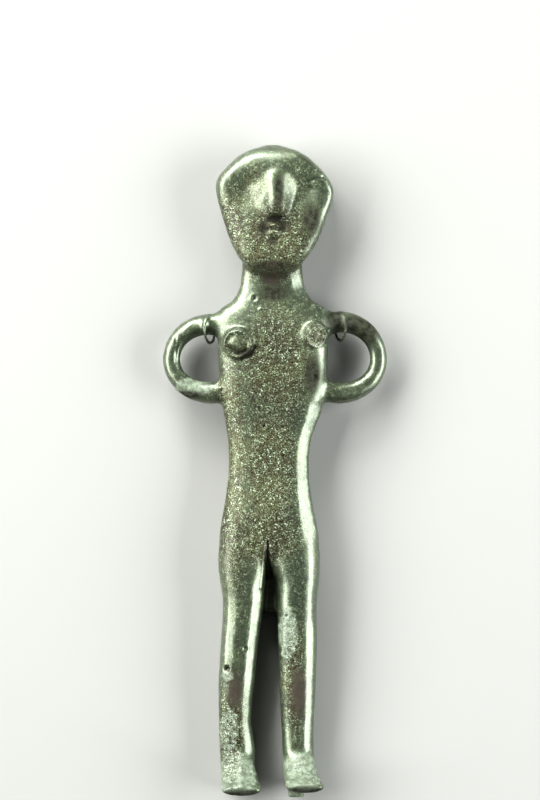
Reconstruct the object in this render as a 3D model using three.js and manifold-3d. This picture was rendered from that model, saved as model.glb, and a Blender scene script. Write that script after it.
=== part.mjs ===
// A small bronze figure of a standing woman, solid cast in one pour, lying loose on its back.
// Millimetres. +X is the onlooker's right, +Y runs from the soles to the crown, and +Z is up, the way
// the face looks. The origin is on the floor, under the middle of the figure's length and width.
// Heights called "along" are counted from the soles until the finished casting is placed.

import * as THREE from "three";
import { mergeVertices } from "three/addons/utils/BufferGeometryUtils.js";
import Module from "manifold-3d";

// Cross-sections of the trunk, from the thin web of metal that was left standing between the thighs up
// into the head: how far along the figure, the middle across, half the width, and the heights of the
// back and of the front above the floor.
const TRUNK = {
  webEdge: { along: 41.8, across: -0.1, half: 2.6, back: 2.6, front: 4.4 },
  web: { along: 47, across: -0.1, half: 3.0, back: 2.3, front: 4.8 },
  fork: { along: 51.3, across: -0.2, half: 6.5, back: 1.6, front: 6.4 },
  seat: { along: 54.4, across: -0.2, half: 10.2, back: 0.4, front: 8.9 },
  lap: { along: 57, across: -0.2, half: 11.4, back: -0.2, front: 10.0 },
  hips: { along: 60.5, across: -0.2, half: 11.4, back: -0.35, front: 10.4 },
  belly: { along: 64.5, across: -0.3, half: 10.6, back: 0.3, front: 10.4 },
  waist: { along: 73.5, across: -0.3, half: 9.3, back: 1.7, front: 9.6 },
  ribs: { along: 82, across: -0.1, half: 9.6, back: 1.7, front: 9.6 },
  flank: { along: 88.5, across: 0.6, half: 11.4, back: 1.2, front: 10.1 },
  chest: { along: 97, across: 0.7, half: 12.5, back: 0.8, front: 10.7 },
  bosom: { along: 104, across: 0.7, half: 12.8, back: 0.7, front: 10.7 },
  armpit: { along: 106.6, across: 0.7, half: 13.0, back: 0.8, front: 10.5 },
  shoulder: { along: 109.8, across: 0.8, half: 14.2, back: 1.0, front: 9.9 },
  slope: { along: 112.2, across: 0.8, half: 12.1, back: 1.6, front: 9.3 },
  collar: { along: 114.2, across: 0.6, half: 9.0, back: 2.2, front: 8.9 },
  neck: { along: 118.5, across: 0.5, half: 7.2, back: 2.7, front: 8.4 },
  nape: { along: 126, across: 0.6, half: 7.0, back: 2.4, front: 8.4 },
};

// Cross-sections of the head, a flat shield of a face: a blunt chin, straight cheeks, wide temples
// and a low dome that falls back from the brow.
const HEAD = {
  under: { along: 119.8, across: 0.5, half: 1.3, back: 7.2, front: 9.2 },
  chin: { along: 120.6, across: 0.5, half: 3.9, back: 6.0, front: 10.5 },
  jaw: { along: 122.6, across: 0.6, half: 6.7, back: 4.2, front: 11.5 },
  lips: { along: 126.6, across: 0.9, half: 9.5, back: 1.6, front: 11.9 },
  cheek: { along: 132.6, across: 1.1, half: 11.8, back: 0.0, front: 11.3 },
  temple: { along: 138.9, across: 1.2, half: 13.6, back: -0.35, front: 11.1 },
  brow: { along: 141.9, across: 0.7, half: 13.0, back: -0.2, front: 11.3 },
  forehead: { along: 145.4, across: 0.6, half: 10.1, back: 0.7, front: 10.8 },
  crown: { along: 148.7, across: 0.6, half: 5.6, back: 2.7, front: 8.9 },
  top: { along: 150, across: 0.6, half: 1.2, back: 4.9, front: 7.0 },
};
const EYE_SOCKETS = [
  { across: -5.4, along: 139.4 },
  { across: 7.6, along: 140.0 },
];
const SOCKET = { halfWidth: 4.6, halfHeight: 4.9, depth: 1.7 };
const NOSE = {
  bridge: { along: 147.4, across: 0.7, half: 3.2, back: 6.4, front: 9.3 },
  root: { along: 143.4, across: 0.7, half: 2.9, back: 7.2, front: 11.5 },
  ridge: { along: 139.6, across: 0.8, half: 2.6, back: 7.6, front: 12.3 },
  tip: { along: 135.3, across: 1.0, half: 2.5, back: 8.2, front: 13.3 },
  base: { along: 133.9, across: 1.1, half: 2.1, back: 8.2, front: 12.2 },
};
const MOUTH = { across: 0.8, along: 130.3, level: 11.3 };
const LIP = { halfWidth: 2.1, height: 1.0, stand: 1.1, apart: 1.7 };

// Cross-sections of each leg, from inside the hips down into the foot.
const LEFT_LEG = {
  foot: { along: 3, across: -7.5, half: 3.5, back: 0.4, front: 7.6 },
  heel: { along: 9.5, across: -7.45, half: 4.15, back: 0.5, front: 7.6 },
  ankle: { along: 16.5, across: -8.1, half: 3.7, back: 0.9, front: 7.6 },
  shin: { along: 26, across: -7.7, half: 4.2, back: 0.3, front: 8.6 },
  knee: { along: 35.5, across: -6.95, half: 4.4, back: 1.0, front: 9.2 },
  thigh: { along: 44.6, across: -6.1, half: 4.8, back: 0.5, front: 9.6 },
  slit: { along: 49.2, across: -6.25, half: 5.3, back: 0.1, front: 10.0 },
  fork: { along: 54, across: -5.85, half: 6.15, back: -0.2, front: 10.2 },
  hip: { along: 58.5, across: -5.5, half: 6.1, back: -0.1, front: 10.1 },
  groin: { along: 64, across: -5.15, half: 5.1, back: 1.0, front: 9.4 },
};
const RIGHT_LEG = {
  foot: { along: 3, across: 6.9, half: 3.4, back: 0.4, front: 7.4 },
  heel: { along: 10, across: 6.5, half: 3.6, back: 0.5, front: 7.6 },
  ankle: { along: 16.5, across: 6.4, half: 3.8, back: 0.9, front: 7.6 },
  shin: { along: 26, across: 6.4, half: 4.3, back: 0.3, front: 8.6 },
  knee: { along: 35.5, across: 6.4, half: 4.5, back: 1.0, front: 9.2 },
  thigh: { along: 44.6, across: 6.3, half: 4.6, back: 0.5, front: 9.6 },
  slit: { along: 49.2, across: 6.5, half: 4.9, back: 0.1, front: 10.0 },
  fork: { along: 54, across: 5.6, half: 6.05, back: -0.2, front: 10.2 },
  hip: { along: 58.5, across: 5.25, half: 6.05, back: -0.1, front: 10.1 },
  groin: { along: 64, across: 4.8, half: 5.0, back: 1.0, front: 9.4 },
};

// Cross-sections of a foot, from the toes back to the heel: the height above the floor, the middle
// across, half the width, and how far along the figure the sole and the instep are.
const LEFT_FOOT = {
  tip: { level: 15.4, across: -6.3, half: 3.5, sole: 0.7, instep: 1.9 },
  toes: { level: 14.4, across: -6.4, half: 4.5, sole: 0.1, instep: 2.5 },
  ball: { level: 11.5, across: -6.7, half: 4.4, sole: 0, instep: 4.5 },
  instep: { level: 7.8, across: -7.2, half: 4.0, sole: 0, instep: 8.8 },
  ankle: { level: 4, across: -7.7, half: 3.6, sole: 0, instep: 12 },
  heel: { level: 0.8, across: -7.9, half: 2.9, sole: 0.4, instep: 9 },
  back: { level: -0.4, across: -7.9, half: 2.0, sole: 1.4, instep: 6 },
};
const RIGHT_FOOT = {
  tip: { level: 15.6, across: 8.6, half: 3.2, sole: 1.4, instep: 2.5 },
  toes: { level: 14.6, across: 8.3, half: 4.2, sole: 0.8, instep: 3.1 },
  ball: { level: 11.5, across: 7.7, half: 4.1, sole: 0.6, instep: 5 },
  instep: { level: 7.8, across: 7.0, half: 3.7, sole: 0.6, instep: 9 },
  ankle: { level: 4, across: 6.6, half: 3.5, sole: 0.6, instep: 12 },
  heel: { level: 0.8, across: 6.4, half: 2.8, sole: 1, instep: 9 },
  back: { level: -0.4, across: 6.4, half: 1.9, sole: 1.8, instep: 6 },
};
// The stub of the casting channel that was left on under one foot.
const TENON = { across: 6.1, level: 6.2, radius: 1.9, from: -0.8, to: 3 };

// The arms are rings that fall back from the sides of the chest: half an ellipse from the shoulder out
// to the elbow and back to the flank. "side" is -1 on the left and 1 on the right.
const ARMS = [
  { side: -1, across: -13.9, rise: 8.1 },
  { side: 1, across: 16.3, rise: 8.7 },
];
const ARM = { along: 100.4, out: 8.9, drop: 7.8 };
const ARM_LEVEL = { root: 5.7, elbow: 4.5 };
const ARM_RADIUS = { root: 2.8, elbow: 2.05 };
const ARM_START = THREE.MathUtils.degToRad(36);
const ARMLET = { angle: Math.PI / 2, radius: 3.2, wire: 0.42, drop: 1.1, tilt: THREE.MathUtils.degToRad(22) };

// The breasts are round studs: a low drum with a narrow rim, a groove inside it and a low dome.
const BREASTS = [
  { across: -7.2, along: 104.2, level: 10.1, radius: 3.3, leanOut: -10, leanDown: 12 },
  { across: 9.9, along: 106.1, level: 9.0, radius: 2.85, leanOut: 30, leanDown: 6 },
];
const STUD = { root: -2.5, wall: 1.2, rim: 1.45, rimInside: 0.86, groove: 1.0, domeEdge: 0.75, dome: 1.8 };

// How square each cross-section is on its left and on its right: 2 is an ellipse, more is boxier, and
// less than 2 comes to a ridge.
const SQUARENESS = {
  trunk: [2.5, 3.4],
  head: [3, 6],
  nose: [1.4, 4],
  leg: [2.5, 2.5],
  foot: [2.5, 2.5],
  arm: [2, 2],
};
// How finely each form is faceted: steps from one named cross-section to the next, or rings along an
// arm, and corners round each ring.
const FACETS = {
  trunk: [2, 32],
  head: [3, 36],
  nose: [3, 12],
  leg: [2, 20],
  foot: [2, 18],
  arm: [22, 12],
  lip: [8, 6],
  stud: 18,
  dome: 4,
  armlet: [5, 20],
  tenon: 12,
};
const BRONZE = { color: 0x4c513d, roughness: 0.45, metalness: 0.7 };

const WELD = 1e-4;
const { Manifold, Mesh } = await Module().then((wasm) => {
  wasm.setup();
  return wasm;
});

// A closed geometry as a solid that can be joined and cut.
function solid(geometry) {
  const bare = new THREE.BufferGeometry().setAttribute("position", geometry.getAttribute("position"));
  bare.setIndex(geometry.index);
  const welded = mergeVertices(bare, WELD);
  const corners = welded.index.array;
  const triangles = [];
  for (let i = 0; i < corners.length; i += 3) {
    const [a, b, c] = corners.slice(i, i + 3);
    const collapsed = a === b || b === c || c === a;
    if (!collapsed) triangles.push(a, b, c);
  }
  const vertProperties = welded.getAttribute("position").array;
  return new Manifold(new Mesh({ numProp: 3, vertProperties, triVerts: new Uint32Array(triangles) }));
}

// One ring of corners: two halves of superellipses in the plane of two directions.
function ring(centre, across, up, halfAcross, halfUp, [left, right], corners) {
  return Array.from({ length: corners }, (_, i) => {
    const angle = (2 * Math.PI * i) / corners;
    const [x, y] = [Math.cos(angle), Math.sin(angle)];
    const power = x < 0 ? left : right;
    const reach = (Math.abs(x) ** power + Math.abs(y) ** power) ** (-1 / power);
    return centre
      .clone()
      .addScaledVector(across, halfAcross * reach * x)
      .addScaledVector(up, halfUp * reach * y);
  });
}

// A skin over a row of rings, closed by a fan at each end.
function skin(rings) {
  const corners = rings[0].length;
  const points = rings.flat();
  const index = [];
  for (let r = 0; r < rings.length - 1; r++) {
    for (let i = 0; i < corners; i++) {
      const a = r * corners + i;
      const b = r * corners + ((i + 1) % corners);
      index.push(a, a + corners, b, b, a + corners, b + corners);
    }
  }
  for (const [r, turned] of [[0, false], [rings.length - 1, true]]) {
    const hub = points.length;
    const sum = rings[r].reduce((total, point) => total.add(point), new THREE.Vector3());
    points.push(sum.divideScalar(corners));
    for (let i = 0; i < corners; i++) {
      const a = r * corners + i;
      const b = r * corners + ((i + 1) % corners);
      index.push(hub, turned ? b : a, turned ? a : b);
    }
  }
  return new THREE.BufferGeometry().setFromPoints(points).setIndex(index);
}

const X = new THREE.Vector3(1, 0, 0);
const Y = new THREE.Vector3(0, 1, 0);
const Z = new THREE.Vector3(0, 0, 1);

// Cross-sections on a smooth curve through the named ones, in the order of "by", with equal steps from
// each to the next, so that they stand closest where the form changes fastest.
function sections(stations, by, keys, steps) {
  const rows = Object.values(stations).sort((a, b) => a[by] - b[by]);
  const places = rows.map((row) => row[by]);
  const values = rows.flatMap((row) => keys.map((key) => row[key]));
  const curve = new THREE.CubicInterpolant(places, values, keys.length);
  return Array.from({ length: steps * (places.length - 1) + 1 }, (_, i) => {
    const before = Math.floor(i / steps);
    const after = Math.min(before + 1, places.length - 1);
    const at = THREE.MathUtils.lerp(places[before], places[after], (i % steps) / steps);
    return [at, ...curve.evaluate(at)];
  });
}

// A form with its cross-sections one above another along the figure.
function upright(stations, squareness, [steps, corners]) {
  const rows = sections(stations, "along", ["across", "half", "back", "front"], steps);
  return rows.map(([along, across, half, back, front]) => {
    const centre = new THREE.Vector3(across, along, (back + front) / 2);
    return ring(centre, X, Z, half, (front - back) / 2, squareness, corners);
  });
}

function trunk() {
  return solid(skin(upright(TRUNK, SQUARENESS.trunk, FACETS.trunk)));
}

// The face is hollowed at the eyes: only corners that lie towards the front sink.
function head() {
  const rings = upright(HEAD, SQUARENESS.head, FACETS.head);
  const middle = (HEAD.temple.back + HEAD.temple.front) / 2;
  const reach = HEAD.temple.front - middle;
  for (const point of rings.flat()) {
    const frontness = THREE.MathUtils.smoothstep(point.z, middle, middle + reach);
    for (const eye of EYE_SOCKETS) {
      const across = (point.x - eye.across) / SOCKET.halfWidth;
      const along = (point.y - eye.along) / SOCKET.halfHeight;
      point.z -= SOCKET.depth * frontness * Math.exp(-across * across - along * along);
    }
  }
  return solid(skin(rings));
}

function nose() {
  return solid(skin(upright(NOSE, SQUARENESS.nose, FACETS.nose)));
}

function lips() {
  return [-1, 1].map((side) => {
    const lip = new THREE.SphereGeometry(1, ...FACETS.lip);
    lip.scale(LIP.halfWidth, LIP.height, LIP.stand);
    lip.translate(MOUTH.across, MOUTH.along + (side * LIP.apart) / 2, MOUTH.level);
    return solid(lip);
  });
}

function leg(stations) {
  return solid(skin(upright(stations, SQUARENESS.leg, FACETS.leg)));
}

// The rings of a foot are stacked from the toes down to the heel.
function foot(stations) {
  const [steps, corners] = FACETS.foot;
  const rows = sections(stations, "level", ["across", "half", "sole", "instep"], steps).reverse();
  const rings = rows.map(([level, across, half, sole, instep]) => {
    const centre = new THREE.Vector3(across, (sole + instep) / 2, level);
    return ring(centre, X, Y, half, (instep - sole) / 2, SQUARENESS.foot, corners);
  });
  return solid(skin(rings));
}

function tenon() {
  const stub = new THREE.CylinderGeometry(TENON.radius, TENON.radius, TENON.to - TENON.from, FACETS.tenon);
  stub.translate(TENON.across, (TENON.from + TENON.to) / 2, TENON.level);
  return solid(stub);
}

// Where the middle line of an arm is at an angle, which way it runs, and how thick it is there.
function armAt({ side, across, rise }, angle) {
  const reach = angle < Math.PI ? rise : ARM.drop;
  const fromElbow = Math.abs(angle - Math.PI) / (Math.PI - ARM_START);
  const swell = THREE.MathUtils.smoothstep(fromElbow, 0, 1);
  const point = new THREE.Vector3(
    across - side * ARM.out * Math.cos(angle),
    ARM.along + reach * Math.sin(angle),
    THREE.MathUtils.lerp(ARM_LEVEL.elbow, ARM_LEVEL.root, swell),
  );
  const tangent = new THREE.Vector3(side * ARM.out * Math.sin(angle), reach * Math.cos(angle), 0).normalize();
  const radius = THREE.MathUtils.lerp(ARM_RADIUS.elbow, ARM_RADIUS.root, swell);
  return { point, tangent, radius };
}

function arm(shape) {
  const [rings, corners] = FACETS.arm;
  const row = Array.from({ length: rings }, (_, i) => {
    const angle = THREE.MathUtils.lerp(ARM_START, 2 * Math.PI - ARM_START, i / (rings - 1));
    const { point, tangent, radius } = armAt(shape, angle);
    return ring(point, tangent.cross(Z), Z, radius, radius, SQUARENESS.arm, corners);
  });
  return solid(skin(row));
}

// A thin wire hoop at the root of the arm: its top is sunk in the arm, it hangs clear below, and its
// back is nearer the chest than its front.
function armlet(shape) {
  const { point } = armAt(shape, ARMLET.angle);
  const hoop = new THREE.TorusGeometry(ARMLET.radius, ARMLET.wire, ...FACETS.armlet);
  hoop.rotateY(Math.PI / 2 + shape.side * ARMLET.tilt);
  hoop.translate(point.x, point.y - ARMLET.drop, point.z);
  return solid(hoop);
}

function breast({ across, along, level, radius, leanOut, leanDown }) {
  const edge = radius * STUD.domeEdge;
  const dome = Array.from({ length: FACETS.dome }, (_, i) => {
    const turn = (Math.PI / 2) * (i / (FACETS.dome - 1));
    return [edge * Math.cos(turn), THREE.MathUtils.lerp(STUD.groove, STUD.dome, Math.sin(turn))];
  });
  const profile = [
    [0, STUD.root],
    [radius, STUD.root],
    [radius, STUD.wall],
    [(radius * (1 + STUD.rimInside)) / 2, STUD.rim],
    [radius * STUD.rimInside, STUD.wall],
    ...dome,
  ].map(([out, height]) => new THREE.Vector2(out, height));
  const stud = new THREE.LatheGeometry(profile, FACETS.stud);
  stud.rotateX(Math.PI / 2);
  stud.rotateX(THREE.MathUtils.degToRad(leanDown));
  stud.rotateY(THREE.MathUtils.degToRad(leanOut));
  stud.translate(across, along, level);
  return solid(stud);
}

// Everything under the floor is cut away, which leaves the worn flats that the casting lies on.
function floor(length, depth) {
  const slab = new THREE.BoxGeometry(length, 2 * length, depth);
  slab.translate(0, length / 2, -depth / 2);
  return solid(slab);
}

function casting() {
  const forms = [
    trunk(),
    head(),
    nose(),
    ...lips(),
    leg(LEFT_LEG),
    leg(RIGHT_LEG),
    foot(LEFT_FOOT),
    foot(RIGHT_FOOT),
    tenon(),
    ...ARMS.map(arm),
    ...ARMS.map(armlet),
    ...BREASTS.map(breast),
  ];
  const joined = forms.reduce((whole, form) => whole.add(form));
  const { vertProperties, triVerts } = joined.subtract(floor(2 * HEAD.top.along, TRUNK.hips.front)).getMesh();
  const geometry = new THREE.BufferGeometry();
  geometry.setAttribute("position", new THREE.BufferAttribute(vertProperties, 3));
  geometry.setIndex(new THREE.BufferAttribute(triVerts, 1));
  geometry.computeBoundingBox();
  const middle = geometry.boundingBox.getCenter(new THREE.Vector3());
  geometry.translate(-middle.x, -middle.y, 0);
  geometry.computeVertexNormals();
  return geometry;
}

const figure = new THREE.Mesh(casting(), new THREE.MeshStandardMaterial(BRONZE));
figure.name = "bronze_figure";

const part = new THREE.Group();
part.add(figure);

export default part;
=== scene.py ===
import math

import bmesh
import bpy
import numpy as np
from mathutils import Matrix, Vector


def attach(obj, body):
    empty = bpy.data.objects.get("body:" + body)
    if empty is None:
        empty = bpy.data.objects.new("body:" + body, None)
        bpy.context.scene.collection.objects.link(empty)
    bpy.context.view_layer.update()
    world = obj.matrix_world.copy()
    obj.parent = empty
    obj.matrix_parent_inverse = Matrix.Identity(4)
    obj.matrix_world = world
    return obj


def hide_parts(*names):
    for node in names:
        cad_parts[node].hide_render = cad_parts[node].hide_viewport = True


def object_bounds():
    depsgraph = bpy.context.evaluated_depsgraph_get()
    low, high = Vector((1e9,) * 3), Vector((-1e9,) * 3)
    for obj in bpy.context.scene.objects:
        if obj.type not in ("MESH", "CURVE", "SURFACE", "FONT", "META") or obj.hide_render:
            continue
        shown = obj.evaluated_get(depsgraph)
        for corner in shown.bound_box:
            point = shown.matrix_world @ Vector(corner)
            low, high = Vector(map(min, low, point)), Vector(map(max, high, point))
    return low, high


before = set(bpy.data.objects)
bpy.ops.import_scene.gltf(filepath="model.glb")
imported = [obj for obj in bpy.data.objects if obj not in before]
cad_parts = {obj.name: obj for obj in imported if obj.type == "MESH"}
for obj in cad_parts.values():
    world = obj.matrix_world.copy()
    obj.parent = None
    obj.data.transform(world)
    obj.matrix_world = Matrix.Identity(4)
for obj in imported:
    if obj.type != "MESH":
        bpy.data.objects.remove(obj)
cad_low, cad_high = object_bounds()

# The body of the figure: a small standing woman, poured solid in bronze in one piece from a wax model.
# The wax was rolled and pressed by hand, so its forms run softly into each other, and the skin here is
# the solid's own, eased the way wax is, with the face and the feet left crisper than the rest.
MM = 0.001
STUB = 0.8
MIDDLE = 1.175
SKIN_CELL = 0.37
EASE_ROUNDS = 44
LIGHT_EASE = 3
CRISP = [
    {"across": 1.0, "along": 137.0, "wide": 16.0, "tall": 14.0, "soft": 3.0, "rounds": 20},
    {"across": -1.0, "along": 1.0, "wide": 16.0, "tall": 5.0, "soft": 4.0, "rounds": 7},
    {"across": 1.2, "along": 137.0, "wide": 3.6, "tall": 11.0, "soft": 2.0, "rounds": 6},
]


def on_figure(points):
    """Places on the figure in millimetres: across its middle line, along from the soles, and level."""
    across = points[:, 0] / MM + MIDDLE
    along = (points[:, 1] - cad_low.y) / MM - STUB
    return across, along, points[:, 2] / MM


def in_frame(across, along, level):
    """The point of the frame, in metres, that a place on the figure has."""
    return Vector(((across - MIDDLE) * MM, cad_low.y + (along + STUB) * MM, level * MM))


def step(values, low, high):
    """0 below low, 1 above high, and an even rise between them."""
    share = np.clip((values - low) / (high - low), 0, 1)
    return share * share * (3 - 2 * share)


def welded_copy(node):
    """A copy of a solid's mesh with its loose triangles joined up."""
    mesh = node.data.copy()
    shell = bmesh.new()
    shell.from_mesh(mesh)
    bmesh.ops.remove_doubles(shell, verts=shell.verts, dist=0.002 * MM)
    shell.to_mesh(mesh)
    shell.free()
    return mesh


def evaluated(mesh, name, kind, settings, sizes=None):
    """The plain mesh that a mesh turns into under one modifier, with sizes for a tree's inputs."""
    draft = bpy.data.objects.new(name, mesh)
    bpy.context.scene.collection.objects.link(draft)
    modifier = draft.modifiers.new(name, kind)
    for setting, value in settings.items():
        setattr(modifier, setting, value)
    for size, value in (sizes or {}).items():
        sockets = modifier.node_group.interface.items_tree
        modifier[next(s.identifier for s in sockets if s.name == size)] = value
    result = bpy.data.meshes.new_from_object(draft.evaluated_get(bpy.context.evaluated_depsgraph_get()))
    bpy.data.objects.remove(draft)
    return result


def even_skin(mesh):
    """One even, closed skin over everything that a mesh holds."""
    return evaluated(mesh, "skin", "REMESH", {"mode": "VOXEL", "voxel_size": SKIN_CELL * MM})


class Skin:
    """A mesh's points as an array, with the means over each point's neighbours that a sculptor needs."""

    def __init__(self, mesh):
        self.mesh = mesh
        self.count = len(mesh.vertices)
        self.points = np.empty(self.count * 3)
        mesh.vertices.foreach_get("co", self.points)
        self.points = self.points.reshape(-1, 3)
        edges = np.empty(len(mesh.edges) * 2, dtype=np.int64)
        mesh.edges.foreach_get("vertices", edges)
        first, second = edges.reshape(-1, 2).T
        self.ends = np.concatenate([first, second])
        self.others = np.concatenate([second, first])
        self.valence = np.bincount(self.ends, minlength=self.count)

    def around(self, values):
        if values.ndim == 1:
            return np.bincount(self.ends, values[self.others], self.count) / self.valence
        return np.stack([self.around(column) for column in values.T], axis=1)

    def blurred(self, values, rounds):
        for _ in range(rounds):
            values = 0.5 * (values + self.around(values))
        return values

    def eased(self, rounds, passes=3):
        """The points blurred, with what the blur takes off broad forms put back."""
        result = np.zeros_like(self.points)
        for _ in range(passes):
            result = result + self.blurred(self.points - result, rounds)
        return result

    def normals(self):
        self.mesh.vertices.foreach_set("co", self.points.ravel())
        self.mesh.update()
        normals = np.empty(self.count * 3)
        self.mesh.vertex_normals.foreach_get("vector", normals)
        return normals.reshape(-1, 3)

    def keep(self, name, values):
        self.mesh.attributes.new(name, "FLOAT", "POINT").data.foreach_set("value", values.astype(np.float32))


body = Skin(even_skin(welded_copy(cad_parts["bronze_figure"])))
across, along, level = on_figure(body.points)
eased = body.eased(EASE_ROUNDS)
for part in CRISP:
    sideways = np.abs(across - part["across"]) - part["wide"]
    lengthways = np.abs(along - part["along"]) - part["tall"]
    inside = 1 - step(np.maximum(sideways, lengthways), 0, part["soft"])[:, None]
    eased = inside * body.eased(part["rounds"]) + (1 - inside) * eased
body.points = eased

# The nose stands between the hollows of the eyes as a long ridge with a narrow flat front. Its sides run
# out softly into the hollows at the top and grow steep towards the tip. Rows go from the tip upwards.
RIDGE = {
    "along": (133.4, 135.2, 139.6, 143.4, 147.4),
    "level": (12.6, 13.0, 12.0, 11.2, 9.4),
    "left_slope": (1.1, 0.8, 0.46, 0.38, 0.32),
    "right_slope": (1.8, 1.4, 0.75, 0.45, 0.35),
}
RIDGE_FRONT = (0.5, 3.1)
across, along, level = on_figure(body.points)
ridge, left_slope, right_slope = (
    np.interp(along, RIDGE["along"], RIDGE[name]) for name in ("level", "left_slope", "right_slope")
)
left_run, right_run = np.maximum(RIDGE_FRONT[0] - across, 0), np.maximum(across - RIDGE_FRONT[1], 0)
tent = ridge - left_slope * left_run - right_slope * right_run
lift = 0.5 * (tent - level + np.hypot(tent - level, 0.25))
lift *= step(along, 133.2, 134.2) * (1 - step(along, 145.5, 148.5)) * step(level, 7.0, 8.5)
body.points[:, 2] += lift * (1 - step(np.hypot(left_run, right_run), 4.0, 7.0)) * MM

# Long flats that the wax was pared down to: on the right of the trunk, the neck and both legs, and on
# the left of one thigh. Each faces up and to one side by an angle, and keeps a share of the form's reach.
FLATS = [
    {"along": (57, 92), "across": (-14, 14), "angle": 36, "share": 0.94},
    {"along": (111.5, 122), "across": (-9, 10), "angle": 36, "share": 0.87},
    {"along": (8, 50), "across": (-14, -1), "angle": 36, "share": 0.955},
    {"along": (8, 42), "across": (1, 14), "angle": 36, "share": 0.96},
    {"along": (26, 50), "across": (-14, -1), "angle": -22, "share": 0.975},
]
SLICE = 0.8
FLAT_FADE = 4
FLAT_PRESS = 0.85


def pare(flat):
    """Presses the chosen stretch of the body down to one of its flats, slice by slice."""
    across, along, level = on_figure(body.points)
    (low, high), (left, right) = flat["along"], flat["across"]
    chosen = (along > low) & (along < high) & (across > left) & (across < right)
    slices = ((along[chosen] - low) / SLICE).astype(int)
    count = np.bincount(slices)
    place = np.stack([across, level], axis=1)[chosen]
    middle = np.stack([np.bincount(slices, column) / count for column in place.T], axis=1)
    facing = np.array([math.sin(math.radians(flat["angle"])), math.cos(math.radians(flat["angle"]))])
    stand = (place - middle[slices]) @ facing
    most = np.zeros(len(count))
    np.maximum.at(most, slices, stand)
    ends = step(along[chosen], low, low + FLAT_FADE)
    ends *= 1 - step(along[chosen], high - FLAT_FADE, high)
    excess = FLAT_PRESS * ends * np.maximum(stand - flat["share"] * most[slices], 0)
    body.points[chosen] -= excess[:, None] * np.array([facing[0], 0, facing[1]]) * MM


for flat in FLATS:
    pare(flat)
body.points = body.eased(LIGHT_EASE)
body.normals()

# The breasts: round studs that were pressed on to the wax, each a low drum with a thin turned-up rim,
# a groove inside the rim and a low dome, leaning with the curve of the chest.
BREASTS = [
    {"across": -7.2, "along": 104.2, "level": 10.1, "radius": 3.3, "out": -12, "down": 10},
    {"across": 9.9, "along": 106.1, "level": 9.0, "radius": 2.85, "out": 30, "down": 6},
]
STUD = {"root": -2.5, "wall": 1.5, "rim": 1.85, "rim_inside": 0.84, "groove": 0.95, "edge": 0.72, "dome": 2.0}
STUD_SIDES = 72


def lathe(profile, sides):
    """A closed turned form from radius and height pairs, first and last on the axis."""
    shell = bmesh.new()
    line = [shell.verts.new((radius * MM, 0, height * MM)) for radius, height in profile]
    chain = [shell.edges.new(pair) for pair in zip(line, line[1:])]
    bmesh.ops.spin(shell, geom=line + chain, axis=(0, 0, 1), angle=2 * math.pi, steps=sides, use_merge=True)
    bmesh.ops.remove_doubles(shell, verts=shell.verts, dist=0.001 * MM)
    bmesh.ops.recalc_face_normals(shell, faces=shell.faces)
    mesh = bpy.data.meshes.new("turned")
    shell.to_mesh(mesh)
    shell.free()
    return mesh


def stud(breast):
    """One stud in its place on the chest."""
    radius = breast["radius"]
    edge = radius * STUD["edge"]
    rise = STUD["dome"] - STUD["groove"]
    turns = np.linspace(0, math.pi / 2, 10)
    dome = [(edge * math.cos(turn), STUD["groove"] + rise * math.sin(turn)) for turn in turns[:-1]]
    inside = radius * STUD["rim_inside"]
    profile = [
        (0, STUD["root"]),
        (radius * 1.12, STUD["root"]),
        (radius * 1.02, 0.2),
        (radius, STUD["wall"]),
        (radius * 0.97, STUD["rim"]),
        (inside, STUD["rim"] - 0.1),
        (inside - 0.1, STUD["groove"]),
        *dome,
        (0, STUD["dome"]),
    ]
    mesh = lathe(profile, STUD_SIDES)
    out = Matrix.Rotation(math.radians(breast["out"]), 4, "Y")
    down = Matrix.Rotation(math.radians(breast["down"]), 4, "X")
    place = Matrix.Translation(in_frame(breast["across"], breast["along"], breast["level"]))
    mesh.transform(place @ out @ down)
    return mesh


# The armlets: a thin wire hoop at the root of each ring arm. Its top is sunk in the arm, and the rest
# hangs clear of it, with its back nearer the chest than its front.
HOOP_SIZES = {"Hoop Radius": 3.2 * MM, "Wire Radius": 0.4 * MM}
HOOP_STEPS = 72
WIRE_SIDES = 14
HOOP_TILT = 22
HOOPS = [
    {"across": -13.9, "along": 107.4, "level": 5.35, "side": -1},
    {"across": 16.3, "along": 108.0, "level": 5.35, "side": 1},
]


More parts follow.
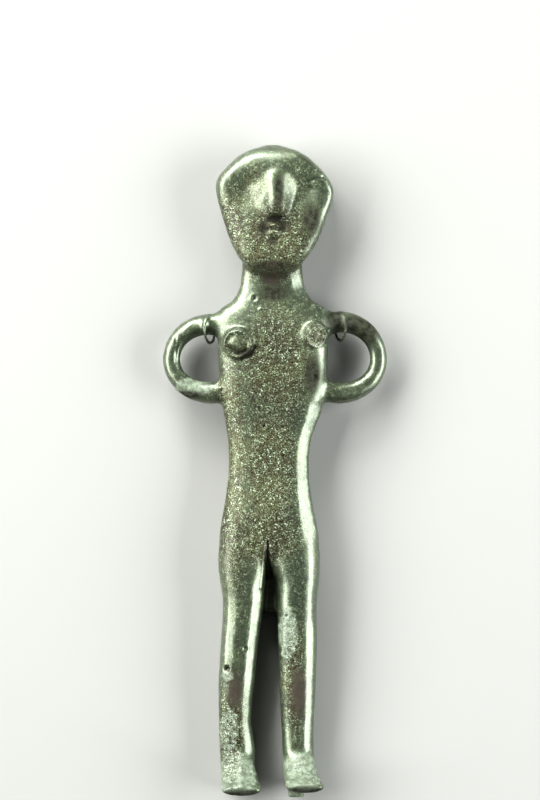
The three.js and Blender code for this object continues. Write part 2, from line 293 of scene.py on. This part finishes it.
class Wire:
    """A socket of a node tree that can be used in plain sums, which add their own Math nodes."""

    def __init__(self, tree, socket=None):
        self.tree = tree
        self.socket = socket

    def node(self, kind, settings=None, sockets=None, out=0):
        made = self.tree.nodes.new(kind)
        for name, value in (settings or {}).items():
            setattr(made, name, value)
        for name, value in (sockets or {}).items():
            inlet = next(s for s in made.inputs if name in (s.identifier, s.name))
            if isinstance(value, Wire):
                self.tree.links.new(value.socket, inlet)
            else:
                inlet.default_value = value
        outlets = [s for s in made.outputs if out in (s.identifier, s.name)] or [made.outputs[0]]
        return Wire(self.tree, outlets[0])

    def maths(self, operation, first, second=0.0):
        return self.node("ShaderNodeMath", {"operation": operation}, {"Value": first, "Value_001": second})

    def __add__(self, other):
        return self.maths("ADD", self, other)

    def __sub__(self, other):
        return self.maths("SUBTRACT", self, other)

    def __rsub__(self, other):
        return self.maths("SUBTRACT", other, self)

    def __mul__(self, other):
        return self.maths("MULTIPLY", self, other)

    __radd__ = __add__
    __rmul__ = __mul__

    def rise(self, low, high):
        """0 where this is below low, 1 above high, and an even rise between them."""
        settings = {"interpolation_type": "SMOOTHSTEP"}
        return self.node("ShaderNodeMapRange", settings, {"Value": self, "From Min": low, "From Max": high})

    def scaled(self, scale):
        return self.node("ShaderNodeVectorMath", {"operation": "SCALE"}, {"Vector": self, "Scale": scale})

    def noise(self, size, detail=2.0, rough=0.5):
        """Cloudy noise with lumps of a size in millimetres, where this is a place in metres."""
        sockets = {"Vector": self.scaled(1 / (size * MM)), "Scale": 1.0, "Detail": detail, "Roughness": rough}
        return self.node("ShaderNodeTexNoise", None, sockets)

    def tint(self, other, share):
        """This colour turned into another one by a share."""
        sockets = {"Factor_Float": share, "A_Color": self, "B_Color": other}
        return self.node("ShaderNodeMix", {"data_type": "RGBA"}, sockets, "Result_Color")


def srgb(red, green, blue):
    """A colour given as on a screen, 0 to 255, in the linear values that shaders take."""
    def linear(value):
        value /= 255
        return value / 12.92 if value <= 0.04045 else ((value + 0.055) / 1.055) ** 2.4

    return (linear(red), linear(green), linear(blue), 1.0)


OLIVE = srgb(76, 72, 50)
BROWN = srgb(52, 44, 31)
MOSS = srgb(112, 130, 92)
VERDIGRIS = srgb(92, 106, 90)
CRUMB = srgb(190, 200, 184)
# A near black for dark pits and stains, and for painted shade.
SOOT_AND_SHADE = srgb(24, 20, 14)
CRUST_GREY = srgb(134, 144, 130)
BARE_BROWN = srgb(78, 70, 64)


def bronze_patina():
    """Dark olive bronze with a peppered, half-polished skin, and painted shade in hollows and dark fields."""
    material = bpy.data.materials.new("bronze_patina")
    material.use_nodes = True
    tree = material.node_tree
    shader = tree.nodes["Principled BSDF"]
    start = Wire(tree)
    place = start.node("ShaderNodeTexCoord", None, None, "Object")
    crust, bare, stain_and_shade, matt, hollow = (
        start.node("ShaderNodeAttribute", {"attribute_name": name}, None, "Fac")
        for name in ("crust_cover", "bare", "stain_and_shade", "matt", "hollow")
    )
    broad = place.noise(9.0, 4.0).rise(0.35, 0.65)
    mottle = place.noise(1.1, 3.0).rise(0.36, 0.64)
    pepper = place.noise(0.32, 2.0, 0.6)
    crumbs = pepper.rise(0.53, 0.7) * (0.15 + 0.85 * mottle) * (1 - bare) * (1 - 0.5 * stain_and_shade)
    holes = (1 - pepper.rise(0.36, 0.49)) * (1 - 0.7 * bare)
    sockets = {"Factor_Float": broad, "A_Color": OLIVE, "B_Color": BROWN}
    colour = start.node("ShaderNodeMix", {"data_type": "RGBA"}, sockets, "Result_Color")
    colour = colour.tint(VERDIGRIS, 0.5 - 0.42 * matt)
    colour = colour.tint(MOSS, 0.25 * mottle)
    colour = colour.tint(BARE_BROWN, 0.8 * bare)
    colour = colour.tint(CRUST_GREY, crust * (0.15 + 0.45 * mottle))
    colour = colour.tint(CRUMB, crumbs * (0.25 + 0.6 * matt))
    colour = colour.tint(SOOT_AND_SHADE, holes * (0.4 + 0.55 * matt))
    # Stains, and painted shade and painted shadow, from the field of dark patches.
    colour = colour.tint(SOOT_AND_SHADE, stain_and_shade * (0.6 + 0.35 * mottle))
    # Painted shade: the skin darkens in its hollows, where shade falls.
    colour = colour.tint(SOOT_AND_SHADE, 0.8 * hollow.rise(0.05, 0.3))
    rough = 0.36 + 0.2 * crust + 0.14 * crumbs - 0.04 * bare + 0.14 * matt + 0.2 * stain_and_shade
    metal = (0.72 - 0.3 * matt) * (1 - 0.7 * crust) * (1 - 0.8 * crumbs) * (1 - 0.7 * stain_and_shade)
    grain = pepper * (1 - 0.8 * bare) + 0.4 * place.noise(0.9, 2.0)
    bump = start.node("ShaderNodeBump", None, {"Height": grain, "Strength": 0.6, "Distance": 0.05 * MM})
    coat = 0.9 - 0.8 * matt - 0.3 * crust - 0.9 * stain_and_shade
    shader.inputs["Coat Roughness"].default_value = 0.3
    shader.inputs["Specular IOR Level"].default_value = 0.2
    tree.links.new(coat.node("ShaderNodeClamp", None, {"Value": coat}).socket, shader.inputs["Coat Weight"])
    tree.links.new(metal.socket, shader.inputs["Metallic"])
    tree.links.new(colour.socket, shader.inputs["Base Color"])
    tree.links.new(rough.socket, shader.inputs["Roughness"])
    tree.links.new(bump.socket, shader.inputs["Normal"])
    return material


def open_tree(name, sizes):
    """A geometry tree with a named input for each size, as a start, its geometry and its sizes."""
    tree = bpy.data.node_groups.new(name, "GeometryNodeTree")
    tree.interface.new_socket("Geometry", in_out="INPUT", socket_type="NodeSocketGeometry")
    for size in sizes:
        tree.interface.new_socket(size, in_out="INPUT", socket_type="NodeSocketFloat")
    tree.interface.new_socket("Geometry", in_out="OUTPUT", socket_type="NodeSocketGeometry")
    given = tree.nodes.new("NodeGroupInput")
    return Wire(tree), [Wire(tree, given.outputs[name]) for name in ("Geometry", *sizes)]


def close_tree(geometry, material):
    """A geometry tree ended: its instances are made real and its material is set."""
    tree = geometry.tree
    whole = geometry.node("GeometryNodeRealizeInstances", None, {"Geometry": geometry})
    dressed = whole.node("GeometryNodeSetMaterial", None, {"Geometry": whole, "Material": material})
    tree.links.new(dressed.socket, tree.nodes.new("NodeGroupOutput").inputs["Geometry"])
    return tree


def hoop_tree(material):
    """The rule for a wire hoop: a round path with a round wire laid along it."""
    start, (_, radius, wire) = open_tree("wire_hoop", HOOP_SIZES)
    path = start.node("GeometryNodeCurvePrimitiveCircle", None, {"Resolution": HOOP_STEPS, "Radius": radius})
    cut = start.node("GeometryNodeCurvePrimitiveCircle", None, {"Resolution": WIRE_SIDES, "Radius": wire})
    laid = start.node("GeometryNodeCurveToMesh", None, {"Curve": path, "Profile Curve": cut})
    return close_tree(laid, material)


def hoop(armlet, mesh):
    """A copy of the bent wire in its place on an arm."""
    placed = mesh.copy()
    turn = Matrix.Rotation(math.pi / 2 + armlet["side"] * math.radians(HOOP_TILT), 4, "Y")
    placed.transform(Matrix.Translation(in_frame(armlet["across"], armlet["along"], armlet["level"])) @ turn)
    return placed


patina = bronze_patina()
blank = bpy.data.meshes.new("hoop")
bent = evaluated(blank, "hoop", "NODES", {"node_group": hoop_tree(patina)}, HOOP_SIZES)

# The cast skin: studs, hoops and body came out of the mould as one piece, so one skin goes over them
# all. Then come the marks of the casting and of the ground: pits, grains, cuts, a split and crust.
casting = bmesh.new()
for mesh in [body.mesh, *(stud(breast) for breast in BREASTS), *(hoop(armlet, bent) for armlet in HOOPS)]:
    casting.from_mesh(mesh)
joined = bpy.data.meshes.new("casting")
casting.to_mesh(joined)
casting.free()
skin = Skin(even_skin(joined))
skin.points = skin.eased(LIGHT_EASE)
normals = skin.normals()
across, along, level = on_figure(skin.points)
front = step(normals[:, 2], 0.0, 0.5)
height = np.zeros(skin.count)

# Pits, most with a raised rim. The last four have a depth below 0 and are grains that stand up.
PITS = [
    {"across": -1.4, "along": 85.0, "radius": 0.6, "depth": 0.5, "rim": 0.2},
    {"across": -5.8, "along": 33.6, "radius": 0.6, "depth": 0.4, "rim": 0.14},
    {"across": -10.0, "along": 28.9, "radius": 0.8, "depth": 0.7, "rim": 0.1},
    {"across": 3.9, "along": 41.2, "radius": 0.5, "depth": 0.35, "rim": 0.12},
    {"across": -11.8, "along": 94.5, "radius": 0.5, "depth": 0.4, "rim": 0.05},
    {"across": -11.1, "along": 93.3, "radius": 0.45, "depth": 0.4, "rim": 0.05},
    {"across": 4.3, "along": 78.5, "radius": 0.4, "depth": 0.35, "rim": 0.1},
    {"across": 2.1, "along": 79.3, "radius": 0.35, "depth": 0.3, "rim": 0.08},
    {"across": 10.4, "along": 96.4, "radius": 0.6, "depth": 0.4, "rim": 0.15},
    {"across": -3.5, "along": 114.5, "radius": 0.7, "depth": 0.4, "rim": 0.15},
    {"across": -2.3, "along": 111.9, "radius": 0.5, "depth": -0.35, "rim": 0.0},
    {"across": 9.3, "along": 113.9, "radius": 0.8, "depth": -0.3, "rim": 0.0},
    {"across": 10.7, "along": 113.1, "radius": 0.7, "depth": -0.25, "rim": 0.0},
    {"across": 12.3, "along": 112.3, "radius": 0.8, "depth": -0.3, "rim": 0.0},
]
for pit in PITS:
    away = np.hypot(across - pit["across"], along - pit["along"]) / pit["radius"]
    height -= front * pit["depth"] * np.exp(-2 * away**2)
    height += front * pit["rim"] * np.exp(-(((away - 1.25) / 0.35) ** 2))

# Cuts, cracks and ridges, each a row of places with a width, and a height that is below 0 for a cut:
# beside one eye, between the lips, at the studs, on an arm, on the belly, at the fork and on the feet.
# The two below the left stud are there only to darken its lower edge, as a shadow would.
STROKES = [
    {"path": [(8.8, 141.4), (13.6, 142.8)], "width": 0.3, "height": -0.22},
    {"path": [(8.8, 140.2), (13.8, 138.6)], "width": 0.3, "height": -0.22},
    {"path": [(9.6, 143.0), (12.6, 145.0)], "width": 0.25, "height": -0.15},
    {"path": [(-0.9, 130.4), (2.4, 130.4)], "width": 0.35, "height": -0.5},
    {"path": [(-1.6, 130.6), (-0.2, 132.4), (2.0, 132.4), (3.2, 130.6)], "width": 0.6, "height": -0.35},
    {"path": [(-1.4, 129.6), (0.0, 128.1), (1.8, 128.1), (3.0, 129.6)], "width": 0.5, "height": -0.25},
    {"path": [(-3.7, 103.2), (-4.6, 101.4), (-6.6, 100.5)], "width": 0.6, "height": -0.45},
    {"path": [(-9.2, 103.0), (-7.4, 101.8), (-5.4, 102.4)], "width": 0.5, "height": -0.35},
    {"path": [(12.0, 106.6), (13.6, 107.2)], "width": 0.25, "height": -0.25},
    {"path": [(11.9, 104.9), (13.6, 104.3)], "width": 0.25, "height": -0.25},
    {"path": [(-21.8, 105.4), (-21.7, 99.8)], "width": 0.3, "height": -0.2},
    {"path": [(0.9, 71.3), (1.9, 69.9)], "width": 0.25, "height": -0.22},
    {"path": [(4.2, 64.6), (5.1, 65.5)], "width": 0.25, "height": -0.22},
    {"path": [(-0.5, 58.2), (-0.6, 54.0), (-0.2, 50.0)], "width": 0.55, "height": -0.7},
    {"path": [(-1.5, 56.6), (-1.7, 51.5), (-2.2, 47.5)], "width": 0.35, "height": 0.22},
    {"path": [(-6.7, 9.0), (-6.6, 2.4)], "width": 1.1, "height": 0.4},
]


def nearness(path, width):
    """1 on a row of places, fading to nothing about two widths away."""
    flat = np.stack([across, along], axis=1)
    nearest = np.full(len(flat), np.inf)
    for start, end in zip(np.array(path), np.array(path)[1:]):
        run = end - start
        share = np.clip((flat - start) @ run / (run @ run), 0, 1)
        nearest = np.minimum(nearest, np.linalg.norm(flat - start - share[:, None] * run, axis=1))
    return np.exp(-((nearest / width) ** 2))


for stroke in STROKES:
    height += front * stroke["height"] * nearness(stroke["path"], stroke["width"])

# Fields of the skin, as soft ellipses: where crust sits, where the metal is bare and smooth, where it
# is darkened, as stain and as painted shade and painted shadow, and where it is matt and doesn't shine.
CRUST = [
    {"across": -8.0, "along": 4.0, "wide": 5.5, "tall": 6.5},
    {"across": 6.8, "along": 4.0, "wide": 5.5, "tall": 7.0},
    {"across": -9.6, "along": 14.5, "wide": 2.6, "tall": 6.0},
    {"across": -9.8, "along": 27.2, "wide": 1.7, "tall": 1.3},
    {"across": 4.2, "along": 37.0, "wide": 2.6, "tall": 7.0},
    {"across": -17.5, "along": 94.0, "wide": 5.0, "tall": 2.4},
]
BARE = [
    {"across": -8.0, "along": 23.9, "wide": 1.7, "tall": 4.2},
    {"across": 6.7, "along": 23.4, "wide": 1.9, "tall": 6.0},
    {"across": 0.4, "along": 119.0, "wide": 2.4, "tall": 1.6},
]
# The dark fields. The first three are the right arm's dark patina, with painted shade at its root, and the
# fourth is the dark lower edge of the left arm. The rest are painted shade and painted shadow: the left
# stud's shadow on the chest, the shaded lower edges of the toes, the chin's shadow on the neck, the shade at
# the chin's lower edge, the shaded right cheek, the shaded front of the nose, the shade at the corners of the
# lips, the shadow under the nose's tip and the shade under the lower lip. The last field darkens the right of
# the chest.
STAIN_AND_SHADE = [
    {"across": 15.0, "along": 109.4, "wide": 2.6, "tall": 2.8},
    {"across": 19.4, "along": 108.6, "wide": 3.4, "tall": 2.0},
    {"across": 22.6, "along": 106.2, "wide": 2.4, "tall": 4.0},
    {"across": -19.0, "along": 92.2, "wide": 4.2, "tall": 1.0},
    {"across": -5.6, "along": 101.8, "wide": 1.6, "tall": 0.9},
    {"across": -6.3, "along": 0.6, "wide": 4.5, "tall": 0.9},
    {"across": 8.4, "along": 1.4, "wide": 4.5, "tall": 0.9},
    {"across": 0.8, "along": 115.6, "wide": 4.0, "tall": 2.0},
    {"across": 0.6, "along": 122.0, "wide": 5.0, "tall": 1.3},
    {"across": 9.5, "along": 133.0, "wide": 2.2, "tall": 4.0},
    {"across": 1.9, "along": 139.0, "wide": 1.1, "tall": 4.5},
    {"across": -1.7, "along": 130.8, "wide": 1.2, "tall": 1.6},
    {"across": 3.1, "along": 131.0, "wide": 0.9, "tall": 1.4},
    {"across": 0.8, "along": 132.8, "wide": 1.8, "tall": 0.8},
    {"across": 0.5, "along": 127.6, "wide": 1.3, "tall": 0.9},
    {"across": 9.8, "along": 97.0, "wide": 2.0, "tall": 4.5},
]
MATT = [
    {"across": 0.9, "along": 128.0, "wide": 9.0, "tall": 9.0},
    {"across": -9.0, "along": 130.5, "wide": 4.0, "tall": 9.0},
    {"across": -9.0, "along": 76.0, "wide": 4.0, "tall": 28.0},
    {"across": 10.4, "along": 106.0, "wide": 2.6, "tall": 2.8},
    {"across": -3.2, "along": 140.5, "wide": 3.0, "tall": 4.5, "share": 0.6},
    {"across": 6.0, "along": 140.5, "wide": 2.5, "tall": 4.5, "share": 0.35},
    {"across": 1.0, "along": 99.0, "wide": 8.0, "tall": 13.0},
    {"across": 0.0, "along": 76.0, "wide": 6.0, "tall": 16.0},
    {"across": -1.0, "along": 60.0, "wide": 8.0, "tall": 7.0},
    {"across": -9.0, "along": 16.0, "wide": 3.0, "tall": 12.0},
    {"across": 5.5, "along": 26.0, "wide": 2.5, "tall": 12.0},
]


def field(patches):
    """A patch's share, 1 if it states none, in its middle, falling to 0 at one and a half times its size."""
    cover = np.zeros(skin.count)
    for patch in patches:
        sideways = (across - patch["across"]) / patch["wide"]
        lengthways = (along - patch["along"]) / patch["tall"]
        inside = 1 - step(np.hypot(sideways, lengthways), 0.5, 1.5)
        cover = np.maximum(cover, patch.get("share", 1) * inside)
    return cover


HOLLOW_ROUNDS = 24
skin.points = skin.points + normals * height[:, None] * MM
normals = skin.normals()
# How far each point lies below the mean of its neighbours, for the painted shade in hollows.
hollow = np.einsum("ij,ij->i", skin.blurred(skin.points, HOLLOW_ROUNDS) - skin.points, normals) / MM
skin.keep("crust", field(CRUST))
skin.keep("bare", field(BARE))
skin.keep("stain_and_shade", field(STAIN_AND_SHADE))
skin.keep("matt", field(MATT))
skin.keep("hollow", hollow)


SKIN_HEIGHTS = {"Lump Height": 0.18, "Grain Height": 0.05, "Crust Height": 0.14}


def skin_tree(material):
    """The rule that the cast skin follows: soft lumps, sand grain, and crust where its field is strong."""
    start, (shell, lump, grain, crust) = open_tree("cast_skin", SKIN_HEIGHTS)
    place = start.node("GeometryNodeInputPosition")
    sockets = {"Name": "crust"}
    cover = start.node("GeometryNodeInputNamedAttribute", {"data_type": "FLOAT"}, sockets, "Attribute")
    ragged = (0.75 * cover + 0.9 * place.noise(1.3, 5.0, 0.65)).rise(0.92, 1.04)
    raised = lump * (place.noise(7.0, 3.0) - 0.5)
    raised = raised + grain * (place.noise(1.1, 2.0) - 0.5)
    raised = raised + crust * ragged * place.noise(0.8, 2.0)
    offset = start.node("GeometryNodeInputNormal").scaled(raised * MM)
    moved = start.node("GeometryNodeSetPosition", None, {"Geometry": shell, "Offset": offset})
    kept = start.node(
        "GeometryNodeStoreNamedAttribute",
        {"data_type": "FLOAT", "domain": "POINT"},
        {"Geometry": moved, "Name": "crust_cover", "Value": ragged},
    )
    return close_tree(kept, material)


finished = evaluated(skin.mesh, "cast_skin", "NODES", {"node_group": skin_tree(patina)}, SKIN_HEIGHTS)
corners = np.empty(len(finished.vertices) * 3)
finished.vertices.foreach_get("co", corners)
corners = np.clip(corners.reshape(-1, 3), np.array(cad_low), np.array(cad_high))
finished.vertices.foreach_set("co", corners.ravel())
finished.shade_smooth()
figure = bpy.data.objects.new("casting", finished)
bpy.context.scene.collection.objects.link(figure)
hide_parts("bronze_figure")
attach(figure, "root")

# The surface that the figure lies on: a plain pale sheet of matt board.
FLOOR_HALF = 1.5
board = bpy.data.meshes.new("floor")
board.from_pydata(
    [(x * FLOOR_HALF, y * FLOOR_HALF, 0) for x, y in ((-1, -1), (1, -1), (1, 1), (-1, 1))], [], [(0, 1, 2, 3)]
)
floor = bpy.data.objects.new("floor", board)
bpy.context.scene.collection.objects.link(floor)
pale = bpy.data.materials.new("pale_board")
pale.use_nodes = True
pale.node_tree.nodes["Principled BSDF"].inputs["Base Color"].default_value = srgb(146, 145, 143)
pale.node_tree.nodes["Principled BSDF"].inputs["Roughness"].default_value = 0.8
board.materials.append(pale)

# The light and the camera: a broad soft lamp on the left, a long low one on the right, a small one past
# the head, and a camera straight above that frames the figure from crown to sole.
LAMPS = {
    "key": {"at": (-0.64, 0.22, 0.42), "size": (0.95, 0.5), "power": 19.0, "tint": (0.97, 1.0, 0.97)},
    "side": {"at": (0.56, -0.02, 0.28), "size": (0.6, 0.34), "power": 8.5, "tint": (0.95, 1.0, 0.98)},
    "top": {"at": (-0.25, 0.68, 0.3), "size": (0.5, 0.25), "power": 10.0, "tint": (0.96, 1.0, 0.96)},
}
for name, lamp in LAMPS.items():
    light = bpy.data.lights.new(name, "AREA")
    light.shape = "RECTANGLE"
    light.size, light.size_y = lamp["size"]
    light.energy = lamp["power"]
    light.color = lamp["tint"]
    stand = bpy.data.objects.new(name, light)
    stand.location = lamp["at"]
    stand.rotation_euler = (-Vector(lamp["at"])).to_track_quat("-Z", "Y").to_euler()
    stand.visible_camera = False
    bpy.context.scene.collection.objects.link(stand)

world = bpy.data.worlds.new("studio")
world.use_nodes = True
world.node_tree.nodes["Background"].inputs["Color"].default_value = srgb(235, 240, 240)
world.node_tree.nodes["Background"].inputs["Strength"].default_value = 0.06
bpy.context.scene.world = world
bpy.context.scene.view_settings.view_transform = "Standard"
bpy.context.scene.view_settings.look = "Medium High Contrast"

PIXEL = 0.2322
FRAME_TALL = 800
CENTRE_ALONG = 91.0
AWAY = 1.5
camera = bpy.data.cameras.new("camera")
camera.sensor_width = 36
camera.lens = camera.sensor_width * AWAY / (FRAME_TALL * PIXEL * MM)
eye = bpy.data.objects.new("camera", camera)
eye.location = in_frame(0, CENTRE_ALONG, AWAY / MM)
bpy.context.scene.collection.objects.link(eye)
bpy.context.scene.camera = eye
